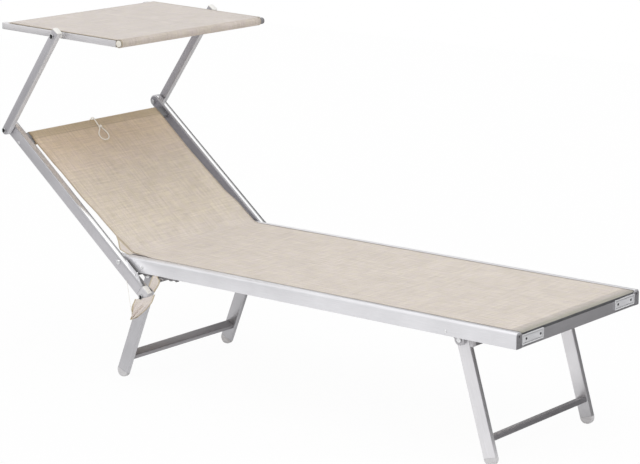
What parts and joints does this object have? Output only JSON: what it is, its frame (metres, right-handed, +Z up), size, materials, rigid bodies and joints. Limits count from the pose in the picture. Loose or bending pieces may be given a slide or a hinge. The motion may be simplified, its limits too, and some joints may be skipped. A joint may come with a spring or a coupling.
{
  "type": "sun lounger with canopy",
  "caption": "Folding tubular sun lounger with a woven mesh sling, reclining backrest and small tilting fabric canopy on two arms.",
  "frame": {"origin": "on the ground, under the middle of the whole lounger with its backrest and canopy up", "axes": "+X to the foot end, +Y to the left of someone lying on it, +Z up"},
  "size_m": [1.8496, 0.7116, 1.0485],
  "materials": {
    "aluminium": "satin anodised tube",
    "steel": "zinc-plated socket screw",
    "grey_plastic": "moulded light grey plastic",
    "white_plastic": "moulded white plastic",
    "seat_mesh": "coated mesh weave, pale sand melange",
    "back_mesh": "coated mesh weave, sand melange",
    "canopy_mesh": "coated mesh weave, pale sand",
    "cord": "braided off-white cord"
  },
  "bodies": {
    "seat_frame": {"seat_rail_right": "aluminium", "seat_rail_left": "aluminium", "corner_plate_right": "grey_plastic", "corner_plate_left": "grey_plastic", "leg_bracket_front_right": "grey_plastic", "leg_bracket_front_left": "grey_plastic", "leg_bracket_rear_right": "grey_plastic", "leg_bracket_rear_left": "grey_plastic", "notch_rack_right": "grey_plastic", "notch_rack_left": "grey_plastic", "foot_rail": "aluminium", "rear_cross_tube": "aluminium", "seat_sling": "seat_mesh"},
    "front_legs": {"leg_front_right": "aluminium", "leg_front_left": "aluminium", "front_foot_right": "grey_plastic", "front_foot_left": "grey_plastic", "front_pivot_bolt_right": "steel", "front_pivot_bolt_left": "steel", "front_bar_cap_right": "grey_plastic", "front_bar_cap_left": "grey_plastic", "front_lower_bar": "aluminium", "front_upper_bar": "aluminium"},
    "rear_legs": {"leg_rear_right": "aluminium", "leg_rear_left": "aluminium", "rear_foot_right": "grey_plastic", "rear_foot_left": "grey_plastic", "rear_pivot_bolt_right": "steel", "rear_pivot_bolt_left": "steel", "rear_bar_cap_right": "grey_plastic", "rear_bar_cap_left": "grey_plastic", "rear_lower_bar": "aluminium", "rear_upper_bar": "aluminium"},
    "backrest": {"back_rail_right": "aluminium", "back_rail_left": "aluminium", "back_pivot_bolt_right": "steel", "back_pivot_bolt_left": "steel", "latch_bolt_right": "steel", "latch_bolt_left": "steel", "cloth_tie_right": "back_mesh", "cloth_tie_left": "back_mesh", "head_bar": "aluminium", "back_sling": "back_mesh", "pull_cord": "cord"},
    "recline_latch": {"latch_link_right": "steel", "latch_link_left": "steel"},
    "canopy_arms": {"canopy_arm_right": "aluminium", "canopy_arm_left": "aluminium", "arm_top_cap_right": "white_plastic", "arm_top_cap_left": "white_plastic", "arm_bolt_right": "steel", "arm_bolt_left": "steel"},
    "canopy": {"canopy_side_bar_right": "aluminium", "canopy_side_bar_left": "aluminium", "canopy_bolt_right": "steel", "canopy_bolt_left": "steel", "canopy_front_tube": "aluminium", "canopy_rear_tube": "aluminium", "canopy_fabric": "canopy_mesh"}
  },
  "joints": [
    {"name": "front_leg_fold", "type": "hinge", "parent": "seat_frame", "child": "front_legs", "pos_m": [0.7125, 0, 0.332], "axis": [0, 1, 0], "range_deg": [0, 106]},
    {"name": "rear_leg_fold", "type": "hinge", "parent": "seat_frame", "child": "rear_legs", "pos_m": [-0.406, 0, 0.332], "axis": [0, -1, 0], "range_deg": [0, 110]},
    {"name": "backrest_recline", "type": "hinge", "parent": "seat_frame", "child": "backrest", "pos_m": [-0.4545, 0, 0.38], "axis": [0, -1, 0], "range_deg": [0, 39]},
    {"name": "latch_swing", "type": "hinge", "parent": "backrest", "child": "recline_latch", "pos_m": [-0.3665, 0, 0.28851], "axis": [0, 1, 0], "range_deg": [0, 118]},
    {"name": "canopy_arm_swing", "type": "hinge", "parent": "backrest", "child": "canopy_arms", "pos_m": [-0.89357, 0, 0.72291], "axis": [0, -1, 0], "range_deg": [-40, 85]},
    {"name": "canopy_tilt", "type": "hinge", "parent": "canopy_arms", "child": "canopy", "pos_m": [-0.68261, 0, 1.02419], "axis": [0, -1, 0], "range_deg": [-60, 75]}
  ],
  "couplings": [
    {"joint": "latch_swing", "follows": "backrest_recline", "ratio": 3}
  ]
}
